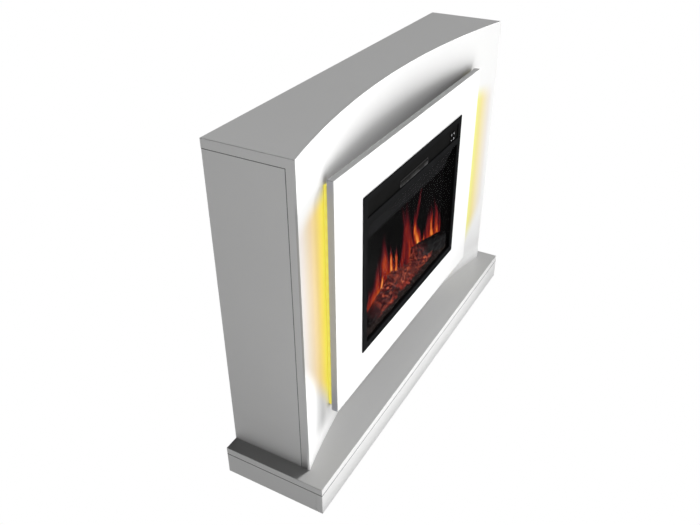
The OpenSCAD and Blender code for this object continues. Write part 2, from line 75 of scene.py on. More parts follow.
class Graph:
    """Short ways to add nodes to a node tree."""

    def __init__(self, tree):
        self.tree = tree

    def add(self, kind, **settings):
        made = self.tree.nodes.new(kind)
        for key, value in settings.items():
            setattr(made, key, value)
        return made

    def feed(self, socket, value):
        """Connects an output to a socket, or sets the socket to a plain value."""
        if isinstance(value, bpy.types.NodeSocket):
            self.tree.links.new(value, socket)
        else:
            socket.default_value = value

    def math(self, operation, first, second=0.0, third=0.0, clamp=False):
        made = self.add("ShaderNodeMath", operation=operation, use_clamp=clamp)
        for socket, value in zip(made.inputs, (first, second, third)):
            self.feed(socket, value)
        return made.outputs[0]

    def product(self, *factors):
        """All the factors multiplied together."""
        result = factors[0]
        for factor in factors[1:]:
            result = self.math("MULTIPLY", result, factor)
        return result

    def fade(self, value, start, end):
        """Smooth step from 0 where value is `start` to 1 where it is `end`."""
        made = self.add("ShaderNodeMapRange", interpolation_type="SMOOTHSTEP")
        self.feed(made.inputs["Value"], value)
        made.inputs["From Min"].default_value = start
        made.inputs["From Max"].default_value = end
        return made.outputs["Result"]


class Paint(Graph):
    """A material under construction, round one Principled shader."""

    def __init__(self, name, color, roughness, metallic=0.0, specular=0.5):
        self.material = bpy.data.materials.new(name)
        self.material.use_nodes = True
        super().__init__(self.material.node_tree)
        self.shader = self.tree.nodes["Principled BSDF"]
        self.shader.inputs["Base Color"].default_value = color
        self.shader.inputs["Roughness"].default_value = roughness
        self.shader.inputs["Metallic"].default_value = metallic
        self.shader.inputs["Specular IOR Level"].default_value = specular
        self.position = self.add("ShaderNodeTexCoord").outputs["Object"]

    def place(self, stretch):
        """The position, multiplied by a factor along each axis where `stretch` is given."""
        if stretch is None:
            return self.position
        made = self.add("ShaderNodeVectorMath", operation="MULTIPLY")
        self.feed(made.inputs[0], self.position)
        self.feed(made.inputs[1], stretch)
        return made.outputs[0]

    def noise(self, scale, detail=3.0, roughness=0.5, stretch=None):
        """Noise from 0 to 1 with about `scale` features to the metre."""
        made = self.add("ShaderNodeTexNoise")
        self.feed(made.inputs["Vector"], self.place(stretch))
        made.inputs["Scale"].default_value = scale
        made.inputs["Detail"].default_value = detail
        made.inputs["Roughness"].default_value = roughness
        return made.outputs["Fac"]

    def cells(self, scale, stretch=None, feature="F1"):
        """Distances inside a cell pattern with about `scale` cells to the metre."""
        made = self.add("ShaderNodeTexVoronoi", feature=feature)
        self.feed(made.inputs["Vector"], self.place(stretch))
        made.inputs["Scale"].default_value = scale
        return made.outputs["Distance"]

    def ramp(self, factor, stops):
        """Colour that follows `factor` through the stops, each (place, colour)."""
        made = self.add("ShaderNodeValToRGB")
        elements = made.color_ramp.elements
        while len(elements) < len(stops):
            elements.new(0.5)
        for element, (place, color) in zip(elements, stops):
            element.position = place
            element.color = (*color[:3], 1.0)
        self.feed(made.inputs["Fac"], factor)
        return made.outputs["Color"]

    def blend(self, factor, first, second, mode="MIX"):
        made = self.add("ShaderNodeMix", data_type="RGBA", blend_type=mode)
        self.feed(made.inputs[0], factor)
        self.feed(made.inputs[6], first)
        self.feed(made.inputs[7], second)
        return made.outputs[2]

    def color(self, value):
        self.feed(self.shader.inputs["Base Color"], value)

    def roughness(self, value):
        self.feed(self.shader.inputs["Roughness"], value)

    def bump(self, height, depth, strength):
        """Relief `depth` metres deep, from a height between 0 and 1."""
        made = self.add("ShaderNodeBump")
        made.inputs["Strength"].default_value = strength
        made.inputs["Distance"].default_value = depth
        self.feed(made.inputs["Height"], height)
        self.feed(self.shader.inputs["Normal"], made.outputs["Normal"])

    def emission(self, color, strength=1.0):
        """Painted glow, which the renderer doesn't use as a lamp."""
        self.material.cycles.emission_sampling = "NONE"
        self.feed(self.shader.inputs["Emission Color"], color)
        self.shader.inputs["Emission Strength"].default_value = strength

    def axes(self):
        made = self.add("ShaderNodeSeparateXYZ")
        self.feed(made.inputs[0], self.position)
        return made.outputs


def grey(value, tint=(1.0, 1.0, 1.0)):
    return (value * tint[0], value * tint[1], value * tint[2], 1.0)


def wear(paint, middle, spread, scale=40.0):
    """Roughness that wanders round its middle value."""
    wander = paint.noise(scale, detail=4.0)
    paint.roughness(paint.math("MULTIPLY_ADD", wander, 2 * spread, middle - spread))


# ---- materials of the surround ----

LACQUER = (0.79, 0.79, 0.785, 1.0)
SATIN = 0.42
# Thickness of the concave front, and how far the white face wraps round the panel's edge before the
# painted shade of its edges begins
FRONT_BOARD = 0.022
PANEL_WRAP = 0.0008
JOINT_HALF_WIDTH = 0.0015
JOINT_EDGE = 0.0004
# The light of the strips on the concave front is painted: partly in the lacquer's colour, partly as its
# own glow
# How far the light of each strip reaches past the panel's edge, and where it starts there
WASH_REACH_LEFT = 0.155
WASH_REACH_RIGHT = 0.078
WASH_START_RIGHT = 0.045
# The strip starts to light the front this far behind the panel's edge
WASH_BEHIND = (-0.030, -0.018)
# Shares of the reach between which the wash dies out
WASH_END = (1.20, 0.92)
# The ends of the wash against the ends of the strips, and how steeply they run past the panel
WASH_LOW_END = (-0.020, 0.075)
WASH_LOW_SLOPE = -1.3
WASH_HIGH_END = (0.012, -0.048)
WASH_HIGH_SLOPE = 0.10
WASH_HIGH_DROP_RIGHT = 0.055
# Painted shade band under the left wash: its middle past the panel's edge, the distances from that
# middle and the heights between which it fades in and out
UNDER_MIDDLE = 0.052
UNDER_SIDES = (0.046, 0.010)
UNDER_FOOT = (0.115, 0.175)
UNDER_TOP = (0.40, 0.30)
# Painted shade band over the left wash: heights of its fades, and its strength
OVER_FOOT = (0.60, 0.70)
OVER_TOP = (0.835, 0.795)
OVER_STRENGTH = 0.73
# Light that the hearth throws back: how high it reaches on the front and on the sides
FRONT_FOOT = 0.084
SIDE_FOOT = 0.10
# Share of the wash that is in the paint's colour, the rest being its own glow, and what the
# glow gains beside the panel
PAINTED = 0.85
EDGE_GLOW = 0.11
WASH_COLORS = [
    (0.0, (0.99, 0.88, 0.125)),
    (0.15, (0.91, 0.70, 0.135)),
    (0.30, (0.77, 0.57, 0.19)),
    (0.50, (0.63, 0.48, 0.275)),
    (0.66, (0.61, 0.52, 0.388)),
    (0.80, (0.625, 0.56, 0.508)),
    (0.95, (0.63, 0.614, 0.598)),
]
WASH_COLORS_RIGHT = [
    (0.10, (0.83, 0.80, 0.24)),
    (0.25, (0.85, 0.80, 0.26)),
    (0.42, (0.88, 0.76, 0.335)),
    (0.62, (0.863, 0.77, 0.51)),
    (0.81, (0.845, 0.78, 0.655)),
    (1.0, (0.83, 0.79, 0.755)),
]


def start_lacquer(name):
    """Sprayed satin lacquer: faint cloudiness, slight orange peel, roughness that wanders.

    Gives back the paint and its plain colour, for the caller to finish.
    """
    paint = Paint(name, LACQUER, SATIN)
    cloud = paint.noise(6.0, detail=2.0)
    peel = paint.noise(420.0, detail=2.0, roughness=0.4)
    wear(paint, SATIN, 0.05)
    paint.bump(peel, 0.00012, 0.25)
    return paint, paint.ramp(cloud, [(0.3, grey(0.775, (1.0, 1.0, 0.995))), (0.7, LACQUER)])


def make_lacquer():
    paint, white = start_lacquer("satin_white_lacquer")
    paint.color(white)
    return paint.material


def front_arc():
    """Radius of the concave front face and the y of its centre."""
    low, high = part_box("curved_front")
    sag = high.y - FRONT_BOARD - low.y
    radius = (high.x**2 + sag**2) / (2 * sag)
    return radius, low.y + sag - radius


def make_jointed_lacquer(name, joints, foot_glow=0.0):
    """Lacquer with the dark line of each joint, given as (axis number, place).

    `foot_glow` is the light that the hearth throws back on the lowest part.
    """
    paint, white = start_lacquer(name)
    clear = 1.0
    for axis, place in joints:
        off = paint.math("ABSOLUTE", paint.math("SUBTRACT", paint.axes()[axis], place))
        beyond = paint.fade(off, JOINT_HALF_WIDTH, JOINT_HALF_WIDTH + JOINT_EDGE)
        clear = paint.product(clear, beyond)
    paint.color(paint.blend(clear, grey(0.10), white))
    if foot_glow > 0:
        hearth_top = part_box("hearth_top")[1].z
        foot = paint.fade(paint.axes()[2], hearth_top + SIDE_FOOT, hearth_top)
        paint.emission(paint.blend(foot, grey(0.0), grey(foot_glow)))
    return paint.material


def make_panel_lacquer():
    """Lacquer of the centre panel, with a cool painted shade on its sides and back and a darker painted
    shade on its top edge.
    """
    paint, white = start_lacquer("panel_lacquer")
    low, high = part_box("centre_panel")
    _, y, z = paint.axes()
    behind = paint.fade(y, low.y + PANEL_WRAP, low.y + 2 * PANEL_WRAP)
    upper = paint.fade(z, high.z - 1.5 * PANEL_WRAP, high.z - PANEL_WRAP / 2)
    top = paint.product(behind, upper)
    # Painted shade: a cool grey on the sides and back of the panel
    shade = paint.blend(behind, white, (0.85, 0.86, 0.93, 1.0))
    # Painted shade: a darker grey on the top edge
    paint.color(paint.blend(top, shade, grey(0.44)))
    return paint.material


def make_lit_lacquer():
    """Concave front lacquer: painted light of the strips beside the panel, painted shade by the left
    wash, painted bounce at the foot.
    """
    paint, white = start_lacquer("lit_white_lacquer")
    _, panel_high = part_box("centre_panel")
    strip_low, strip_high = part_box("left_led_strip")
    hearth_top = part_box("hearth_top")[1].z
    radius, centre_y = front_arc()

    x, y, z = paint.axes()
    right = paint.math("GREATER_THAN", x, 0.0)
    left = paint.math("SUBTRACT", 1.0, right)
    out = paint.math("SUBTRACT", paint.math("ABSOLUTE", x), panel_high.x)
    past = paint.math("MULTIPLY_ADD", right, -WASH_START_RIGHT, out)
    reach = paint.math("MULTIPLY_ADD", right, WASH_REACH_RIGHT - WASH_REACH_LEFT, WASH_REACH_LEFT)
    far = paint.math("DIVIDE", past, reach)

    spoke = paint.add("ShaderNodeCombineXYZ")
    paint.feed(spoke.inputs[0], x)
    paint.feed(spoke.inputs[1], paint.math("SUBTRACT", y, centre_y))
    length = paint.add("ShaderNodeVectorMath", operation="LENGTH")
    paint.feed(length.inputs[0], spoke.outputs[0])
    front_face = paint.math("LESS_THAN", length.outputs["Value"], radius + FRONT_BOARD / 4)

    beside = paint.fade(out, *WASH_BEHIND)
    share = paint.fade(far, *WASH_END)
    low_end = paint.math("SUBTRACT", z, strip_low.z)
    low_end = paint.math("MULTIPLY_ADD", past, WASH_LOW_SLOPE, low_end)
    high_end = paint.math("SUBTRACT", z, strip_high.z)
    high_end = paint.math("MULTIPLY_ADD", past, WASH_HIGH_SLOPE, high_end)
    high_end = paint.math("MULTIPLY_ADD", right, WASH_HIGH_DROP_RIGHT, high_end)
    ends = paint.product(paint.fade(low_end, *WASH_LOW_END), paint.fade(high_end, *WASH_HIGH_END))
    wash = paint.product(share, ends, beside, front_face)

    # Painted shade: a grey band under the left wash and one over it, beside the panel
    aside = paint.math("ABSOLUTE", paint.math("SUBTRACT", past, UNDER_MIDDLE))
    under = paint.product(paint.fade(z, *UNDER_FOOT), paint.fade(z, *UNDER_TOP))
    under = paint.product(under, paint.fade(aside, *UNDER_SIDES))
    over = paint.product(paint.fade(z, *OVER_FOOT), paint.fade(z, *OVER_TOP))
    over = paint.product(over, share, OVER_STRENGTH)
    painted_shade = paint.product(paint.math("MAXIMUM", under, over), front_face, left, beside)
    white = paint.blend(painted_shade, white, grey(0.53))

    # Painted light of the strips: its colour goes partly into the lacquer's colour and partly into glow
    warm = paint.blend(right, paint.ramp(far, WASH_COLORS), paint.ramp(far, WASH_COLORS_RIGHT))
    own_glow = paint.math("MULTIPLY_ADD", paint.fade(far, 0.35, 0.0), EDGE_GLOW, 1.0 - PAINTED)
    glow = paint.blend(1.0, warm, paint.product(wash, own_glow), "MULTIPLY")
    thrown_back = paint.product(paint.fade(z, hearth_top + FRONT_FOOT, hearth_top), front_face)
    bounce = paint.blend(thrown_back, grey(0.0), grey(0.26))
    paint.emission(paint.blend(1.0, glow, bounce, "ADD"))
    painted = paint.blend(1.0, warm, grey(0.85 * PAINTED), "MULTIPLY")
    paint.color(paint.blend(wash, white, painted))
    return paint.material


def make_fibreboard():
    """Raw fibreboard: fine pale fibres in a warm brown ground."""
    paint = Paint("raw_fibreboard", srgb(176, 142, 100), 0.85)
    fibre = paint.noise(900.0, detail=5.0, roughness=0.7)
    patch = paint.noise(14.0, detail=3.0)
    mixed = paint.math("MULTIPLY_ADD", patch, 0.5, paint.product(fibre, 0.6))
    browns = [
        (0.35, srgb(146, 112, 74)),
        (0.55, srgb(176, 142, 100)),
        (0.75, srgb(198, 168, 126)),
    ]
    paint.color(paint.ramp(mixed, browns))
    paint.bump(fibre, 0.0002, 0.5)
    return paint.material


def make_hardboard():
    """Thin hardboard: dark pressed fibres with a slight sheen."""
    paint = Paint("hardboard", srgb(120, 82, 50), 0.55)
    flake = paint.noise(320.0, detail=6.0, roughness=0.75)
    patch = paint.noise(9.0, detail=2.0)
    mixed = paint.math("MULTIPLY_ADD", patch, 0.4, paint.product(flake, 0.7))
    browns = [
        (0.3, srgb(84, 54, 32)),
        (0.55, srgb(124, 86, 54)),
        (0.8, srgb(158, 118, 80)),
    ]
    paint.color(paint.ramp(mixed, browns))
    wear(paint, 0.5, 0.12, 120.0)
    paint.bump(flake, 0.00015, 0.6)
    return paint.material


def make_beech():
    paint = Paint("turned_beech", srgb(205, 170, 120), 0.5)
    grain = paint.noise(60.0, detail=4.0, stretch=(4.0, 4.0, 0.4))
    fleck = paint.noise(700.0, detail=2.0, stretch=(1.0, 1.0, 0.15))
    paint.color(paint.ramp(grain, [(0.3, srgb(186, 146, 98)), (0.7, srgb(217, 186, 140))]))
    paint.bump(fleck, 0.0001, 0.4)
    return paint.material


# ---- plastics and metals ----


def make_plastic(name, color, roughness, specular=0.5):
    """Moulded plastic: fine spark texture and slightly uneven gloss."""
    paint = Paint(name, color, roughness, specular=specular)
    spark = paint.noise(1400.0, detail=2.0)
    cloud = paint.noise(25.0, detail=2.0)
    darker = tuple(0.86 * c for c in color[:3]) + (1.0,)
    paint.color(paint.ramp(cloud, [(0.3, darker), (0.7, color)]))
    wear(paint, roughness, 0.06, 90.0)
    paint.bump(spark, 0.00004, 0.6)
    return paint.material


def make_powder_coat(name, color, roughness, specular):
    """Matt powder coat on steel: fine pebbled skin."""
    paint = Paint(name, color, roughness, specular=specular)
    pebble = paint.cells(1500.0)
    cloud = paint.noise(12.0, detail=3.0)
    lighter = tuple(1.25 * c for c in color[:3]) + (1.0,)
    paint.color(paint.ramp(cloud, [(0.35, color), (0.7, lighter)]))
    wear(paint, roughness, 0.05, 60.0)
    paint.bump(pebble, 0.00005, 0.5)
    return paint.material


def make_grille():
    """Outlet grille: dark coat with a painted highlight on its lower slats, broken into patches."""
    low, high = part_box("outlet_grille")
    paint = Paint("grille_grey", grey(0.04), 0.5, specular=0.05)
    _, _, z = paint.axes()
    lower_highlight = paint.fade(z, (low.z + high.z) / 2 + 0.001, low.z + 0.005)
    patch = paint.noise(34.0, detail=3.0, stretch=(1.0, 1.0, 0.2))
    highlight_patches = paint.fade(patch, 0.38, 0.60)
    # Painted highlight: the lower slats are lighter, in patches
    shade = paint.product(lower_highlight, paint.math("MULTIPLY_ADD", highlight_patches, 0.7, 0.3))
    paint.color(paint.blend(shade, grey(0.022), grey(0.11)))
    paint.bump(paint.cells(1500.0), 0.00005, 0.5)
    return paint.material


def make_brushed(name, color, roughness, squeeze):
    """Rolled or brushed metal: fine lines across the axis that `squeeze` shortens most."""
    paint = Paint(name, color, roughness, metallic=1.0)
    lines = paint.noise(60.0, detail=4.0, stretch=squeeze)
    cloud = paint.noise(18.0, detail=3.0)
    darker = tuple(0.72 * c for c in color[:3]) + (1.0,)
    paint.color(paint.ramp(cloud, [(0.3, darker), (0.7, color)]))
    paint.roughness(paint.math("MULTIPLY_ADD", lines, 0.25, roughness - 0.12))
    paint.bump(lines, 0.00003, 0.4)
    return paint.material


def spangle(paint):
    """Colour of hot-dip galvanising: pale and dark crystals."""
    crystal = paint.add("ShaderNodeTexVoronoi", feature="F1")
    paint.feed(crystal.inputs["Vector"], paint.position)
    crystal.inputs["Scale"].default_value = 90.0
    shade = paint.add("ShaderNodeSeparateColor")
    paint.feed(shade.inputs[0], crystal.outputs["Color"])
    return paint.ramp(shade.outputs[0], [(0.0, grey(0.34)), (0.5, grey(0.46)), (1.0, grey(0.60))])


def make_galvanised():
    paint = Paint("galvanised_sheet", grey(0.48), 0.38, metallic=1.0)
    paint.color(spangle(paint))
    wear(paint, 0.4, 0.1, 70.0)
    paint.bump(paint.noise(160.0), 0.00003, 0.3)
    return paint.material


def make_case():
    """Galvanised outside, matt black inside, where the glass shows it."""
    paint = Paint("case_steel", grey(0.48), 0.45, specular=0.01)
    low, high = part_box("firebox_case")
    wall = 0.0006
    x, y, z = paint.axes()
    inside = paint.product(
        paint.math("LESS_THAN", paint.math("ABSOLUTE", x), high.x - wall),
        paint.math("GREATER_THAN", z, low.z + wall),
        paint.math("LESS_THAN", z, high.z - wall),
        paint.math("LESS_THAN", y, high.y - wall),
    )
    paint.color(paint.blend(inside, spangle(paint), grey(0.003)))
    paint.feed(paint.shader.inputs["Metallic"], paint.math("SUBTRACT", 1.0, inside))
    paint.roughness(paint.math("MULTIPLY_ADD", inside, 0.3, 0.4))
    paint.bump(paint.noise(900.0), 0.00004, 0.4)
    return paint.material


def make_circuit_board():
    """Green solder mask with faint copper tracks."""
    paint = Paint("circuit_board", srgb(30, 92, 52), 0.35)
    tracks = paint.add("ShaderNodeTexBrick")
    paint.feed(tracks.inputs["Vector"], paint.position)
    tracks.inputs["Scale"].default_value = 110.0
    tracks.inputs["Color1"].default_value = srgb(28, 88, 50)
    tracks.inputs["Color2"].default_value = srgb(36, 104, 60)
    tracks.inputs["Mortar"].default_value = srgb(70, 132, 84)
    paint.color(tracks.outputs["Color"])
    wear(paint, 0.35, 0.08, 200.0)
    paint.bump(tracks.outputs["Fac"], 0.00003, 0.5)
    return paint.material


def make_glass():
    """Clear toughened glass with a faint reflection."""
    paint = Paint("clear_glass", grey(0.004), 0.04, specular=0.1)
    smear = paint.noise(8.0, detail=3.0)
    paint.roughness(paint.math("MULTIPLY_ADD", smear, 0.03, 0.02))
    paint.shader.inputs["Alpha"].default_value = 0.02
    return paint.material


def make_diodes():
    """Flexible white strip with its diodes lit."""
    paint = Paint("diode_strip", srgb(240, 220, 120), 0.4)
    patch = paint.noise(300.0)
    paint.color(paint.ramp(patch, [(0.3, srgb(230, 205, 90)), (0.7, srgb(250, 236, 160))]))
    paint.emission(srgb(255, 226, 90), 0.8)
    return paint.material


DIODE_PITCH = 0.032
FIRST_DIODE = 0.018
FLANGE_START = 0.0035
FLANGE_FULL = 0.0055
STRIP_GLOW_DIM = (0.84, 0.72, 0.11)
STRIP_GLOW_BRIGHT = (0.87, 0.79, 0.13)


def make_diffuser():
    """Milky cover, brighter over each diode."""
    paint = Paint("milky_cover", srgb(150, 140, 70), 0.4, specular=0.1)
    _, _, z = paint.axes()
    strip_low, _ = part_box("left_led_strip")
    past_first = paint.math("SUBTRACT", z, strip_low.z + FIRST_DIODE)
    wave = paint.math("COSINE", paint.product(past_first, 2 * math.pi / DIODE_PITCH))
    share = paint.math("MULTIPLY_ADD", wave, 0.5, 0.5)
    paint.emission(paint.ramp(share, [(0.0, STRIP_GLOW_DIM), (1.0, STRIP_GLOW_BRIGHT)]), 0.85)
    return paint.material


def make_channel():
    """Aluminium channel: dark grey in front as painted shade of the gap beside the panel, with the
    strip's light painted on its rear flange as glow.
    """
    low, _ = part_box("left_led_channel")
    paint = Paint("strip_channel", grey(0.10), 0.4, specular=0.2)
    lines = paint.noise(60.0, detail=3.0, stretch=(8.0, 8.0, 0.2))
    _, y, _ = paint.axes()
    rear = paint.fade(y, low.y + FLANGE_START, low.y + FLANGE_FULL)
    # Painted shade: the channel is dark grey, standing for the shadowed gap behind the panel's edge
    paint.color(paint.ramp(lines, [(0.3, grey(0.05)), (0.7, grey(0.09))]))
    # Painted light: the strip's glow on the rear flange
    paint.emission(paint.blend(rear, grey(0.0), (0.82, 0.72, 0.11, 1.0)))
    paint.bump(lines, 0.00003, 0.3)
    return paint.material


def make_ceramic():
    paint = Paint("glazed_ceramic", srgb(232, 226, 210), 0.18)
    paint.color(paint.ramp(paint.noise(120.0), [(0.3, srgb(222, 214, 196)), (0.7, srgb(238, 232, 218))]))
    paint.bump(paint.noise(500.0), 0.00003, 0.3)
    return paint.material


# ---- materials of the fire ----

FLAME_COLORS = [
    (0.0, (0.002, 0.002, 0.002)),
    (0.10, (0.014, 0.003, 0.004)),
    (0.28, (0.070, 0.006, 0.009)),
    (0.48, (0.20, 0.013, 0.010)),
    (0.66, (0.45, 0.050, 0.010)),
    (0.84, (0.82, 0.22, 0.030)),
    (1.0, (0.98, 0.52, 0.14)),
]

# Flame tongues on the screen, in millimetres: middle of the foot (x, z), tip (x, z),
# half width, sideways bow halfway up, and heat from 0 to 1
TONGUES = [
    (-176, 312, -166, 402, 54, 0, 0.66),
    (-158, 318, -140, 384, 26, 3, 0.84),
    (-60, 340, -60, 410, 56, 0, 0.42),
    (60, 340, 56, 430, 58, 0, 0.44),
    (200, 318, 196, 400, 64, 0, 0.52),
    (-206, 312, -196, 400, 18, 2, 0.58),
    (-151, 326, -142, 464, 33, -4, 0.66),
    (-150, 316, -117, 420, 18, 9, 1.10),
    (-76, 346, -113, 524, 40, -18, 0.66),
    (-66, 350, -80, 470, 18, 4, 0.94),
    (-37, 350, -39, 450, 14, 1, 0.90),
    (-3, 350, -26, 572, 25, 30, 0.50),
    (66, 348, 20, 560, 44, -12, 0.56),
    (62, 358, 0, 474, 20, 8, 0.72),
    (88, 350, 40, 476, 18, -4, 0.64),
    (123, 346, 74, 506, 26, -11, 1.00),
    (126, 346, 92, 458, 24, 0, 0.68),
    (76, 452, 118, 580, 15, 9, 0.38),
    (154, 340, 148, 408, 12, 0, 0.78),
    (184, 326, 180, 462, 36, -6, 0.58),
    (205, 322, 194, 478, 16, -5, 0.60),
    (222, 320, 207, 458, 20, -9, 0.97),
    (246, 312, 213, 484, 28, 10, 0.64),
    (262, 312, 233, 416, 18, 5, 0.74),
    (275, 312, 256, 424, 12, 6, 0.48),
]


# The shape of a tongue: half widths at which its heat is gone, shares of its height between
# which foot and tip fade in, what it cools by towards the tip, and its narrowest width
TONGUE_SIDE = 1.42
TONGUE_FOOT = (-0.25, 0.1)
TONGUE_TIP = (1.12, 0.45)
TONGUE_COOLING = -0.35
TONGUE_NARROWEST = 0.0004


def tongue_group():
    """Node group: heat of one flame tongue at a place on the screen."""
    tree = bpy.data.node_groups.new("flame_tongue", "ShaderNodeTree")
    names = ["x", "z", "foot_x", "foot_z", "tip_x", "height", "half_width", "bow", "heat"]
    for name in names:
        tree.interface.new_socket(name, in_out="INPUT", socket_type="NodeSocketFloat")
    tree.interface.new_socket("heat_here", in_out="OUTPUT", socket_type="NodeSocketFloat")
    graph = Graph(tree)
    entry = graph.add("NodeGroupInput")
    result = graph.add("NodeGroupOutput")
    x, z, foot_x, foot_z, tip_x, height, half_width, bow, heat = entry.outputs[: len(names)]

    rise = graph.math("DIVIDE", graph.math("SUBTRACT", z, foot_z), height)
    up = graph.math("MAXIMUM", rise, 0.0)
    lean = graph.product(graph.math("SUBTRACT", tip_x, foot_x), up)
    arch = graph.product(up, graph.math("SUBTRACT", 1.0, up), 4.0)
    middle = graph.math("MULTIPLY_ADD", arch, bow, graph.math("ADD", foot_x, lean))
    taper = graph.math("POWER", graph.math("SUBTRACT", 1.02, up, clamp=True), 0.75)
    width = graph.math("MAXIMUM", graph.product(half_width, taper), TONGUE_NARROWEST)
    aside = graph.math("ABSOLUTE", graph.math("SUBTRACT", x, middle))
    body = graph.fade(graph.math("DIVIDE", aside, width), TONGUE_SIDE, 0.0)
    ends = graph.product(graph.fade(rise, *TONGUE_FOOT), graph.fade(rise, *TONGUE_TIP))
    cooling = graph.math("MULTIPLY_ADD", up, TONGUE_COOLING, 1.0)
    graph.feed(result.inputs[0], graph.product(body, ends, cooling, heat))
    return tree


def make_flames():
    """Dark screen with a projected flame picture: tongues that noise pulls about."""
    paint = Paint("flame_picture", grey(0.001), 0.9, specular=0.0)
    x, _, z = paint.axes()
    sway = paint.noise(22.0, detail=2.0, stretch=(1.0, 1.0, 0.7))
    lick = paint.noise(95.0, detail=3.0, stretch=(1.0, 1.0, 0.35))
    moved = paint.math("MULTIPLY_ADD", paint.math("SUBTRACT", sway, 0.5), 0.022, x)
    moved = paint.math("MULTIPLY_ADD", paint.math("SUBTRACT", lick, 0.5), 0.010, moved)
    tree = tongue_group()
    heat = 0.0
    for foot_x, foot_z, tip_x, tip_z, half_width, bow, warmth in TONGUES:
        tongue = paint.add("ShaderNodeGroup", node_tree=tree)
        lengths = [value * MM for value in (foot_x, foot_z, tip_x, tip_z - foot_z, half_width, bow)]
        for socket, value in zip(tongue.inputs, [moved, z, *lengths, warmth]):
            paint.feed(socket, value)
        heat = paint.math("MAXIMUM", heat, tongue.outputs[0])
    streak = paint.noise(230.0, detail=2.0, stretch=(1.0, 1.0, 0.12))
    puff = paint.noise(48.0, detail=3.0, stretch=(1.0, 1.0, 0.5))
    grain = paint.math("MULTIPLY_ADD", streak, 0.95, 0.10)
    grain = paint.math("MULTIPLY_ADD", puff, 0.85, grain)
    paint.emission(paint.ramp(paint.product(heat, grain), FLAME_COLORS))
    return paint.material


EMBER_EDGE = 0.05
LOG_GLOW = [
    (0.0, (0.0, 0.0, 0.0)),
    (0.25, (0.050, 0.010, 0.011)),
    (0.55, (0.17, 0.020, 0.018)),
    (1.0, (0.62, 0.115, 0.045)),
]
COAL_GLOW = [
    (0.0, (0.014, 0.009, 0.008)),
    (0.3, (0.09, 0.012, 0.010)),
    (0.65, (0.36, 0.040, 0.026)),
    (1.0, (0.85, 0.30, 0.10)),
]
# Heights between which the bed's glow starts, and the strength of its right-hand patch
COAL_GLOW_FOOT = (0.294, 0.303)
RIGHT_COAL_GLOW = 0.85


def ember_light(paint, middle_x, half_x, top_z, depth):
    """Share of the embers' glow at a place: strong low down in the middle, none far away."""
    x, _, z = paint.axes()
    aside = paint.math("ABSOLUTE", paint.math("SUBTRACT", x, middle_x))
    across = paint.fade(aside, half_x + EMBER_EDGE, half_x - EMBER_EDGE)
    return paint.product(across, paint.fade(z, top_z, top_z - depth))


def make_log(name, ash, glow_middle, glow_half, glow_top, glow_depth, heat):
    """Charred wood: bark ridges with ash on top, and the embers' red light painted on as glow in patches
    and cracks.
    """
    paint = Paint(name, grey(0.03), 0.95, specular=0.0)
    bark = paint.noise(60.0, detail=6.0, roughness=0.65, stretch=(0.6, 1.5, 2.6))
    crack = paint.cells(75.0, stretch=(0.7, 1.4, 1.8), feature="DISTANCE_TO_EDGE")
    fleck = paint.noise(650.0, detail=3.0)
    mixed = paint.math("MULTIPLY_ADD", fleck, 0.35, paint.product(bark, 0.75))
    scorched = grey(ash * 0.30, (1.0, 0.95, 0.97))
    dusty = grey(ash, (0.97, 0.98, 1.0))
    paint.color(paint.ramp(mixed, [(0.44, grey(0.001)), (0.56, scorched), (0.70, dusty)]))
    near = ember_light(paint, glow_middle, glow_half, glow_top, glow_depth)
    patch = paint.noise(105.0, detail=4.0, roughness=0.7, stretch=(0.6, 1.0, 1.5))
    patch = paint.math("MULTIPLY_ADD", paint.fade(patch, 0.44, 0.60), 0.78, 0.22)
    grain = paint.noise(230.0, detail=3.0, roughness=0.75, stretch=(0.6, 1.0, 1.3))
    grain = paint.math("MULTIPLY_ADD", paint.fade(grain, 0.42, 0.60), 0.85, 0.12)
    spots = paint.product(patch, grain)
    line = paint.fade(crack, 0.12, 0.02)
    # Painted light: the embers' red glow on the log, in patches and along the cracks, strongest near the
    # bed
    fire = paint.product(near, paint.math("MULTIPLY_ADD", line, 0.10, spots), heat)
    paint.emission(paint.ramp(fire, LOG_GLOW))
    paint.bump(mixed, 0.0012, 0.8)
    return paint.material


def make_coals():
    """Coals and ash: dark lumps, red light between them in the middle of the bed."""
    paint = Paint("coal_bed", grey(0.02), 0.95, specular=0.0)
    lump = paint.noise(120.0, detail=5.0, roughness=0.7)
    fleck = paint.noise(800.0, detail=2.0)
    mixed = paint.math("MULTIPLY_ADD", fleck, 0.4, paint.product(lump, 0.7))
    greys = [(0.44, grey(0.001)), (0.56, grey(0.007, (1.0, 0.9, 0.9))), (0.75, grey(0.035))]
    paint.color(paint.ramp(mixed, greys))
    left = ember_light(paint, -0.118, 0.062, 0.356, 0.030)
    right = ember_light(paint, 0.010, 0.060, 0.346, 0.030)
    near = paint.math("MAXIMUM", left, paint.product(right, RIGHT_COAL_GLOW))
    above = paint.fade(paint.axes()[2], *COAL_GLOW_FOOT)
    patch = paint.fade(paint.noise(70.0, detail=4.0, roughness=0.75), 0.32, 0.68)
    paint.emission(paint.ramp(paint.product(near, above, patch), COAL_GLOW))
    paint.bump(mixed, 0.0010, 0.8)
    return paint.material


# ---- putting the materials on the CAD nodes ----

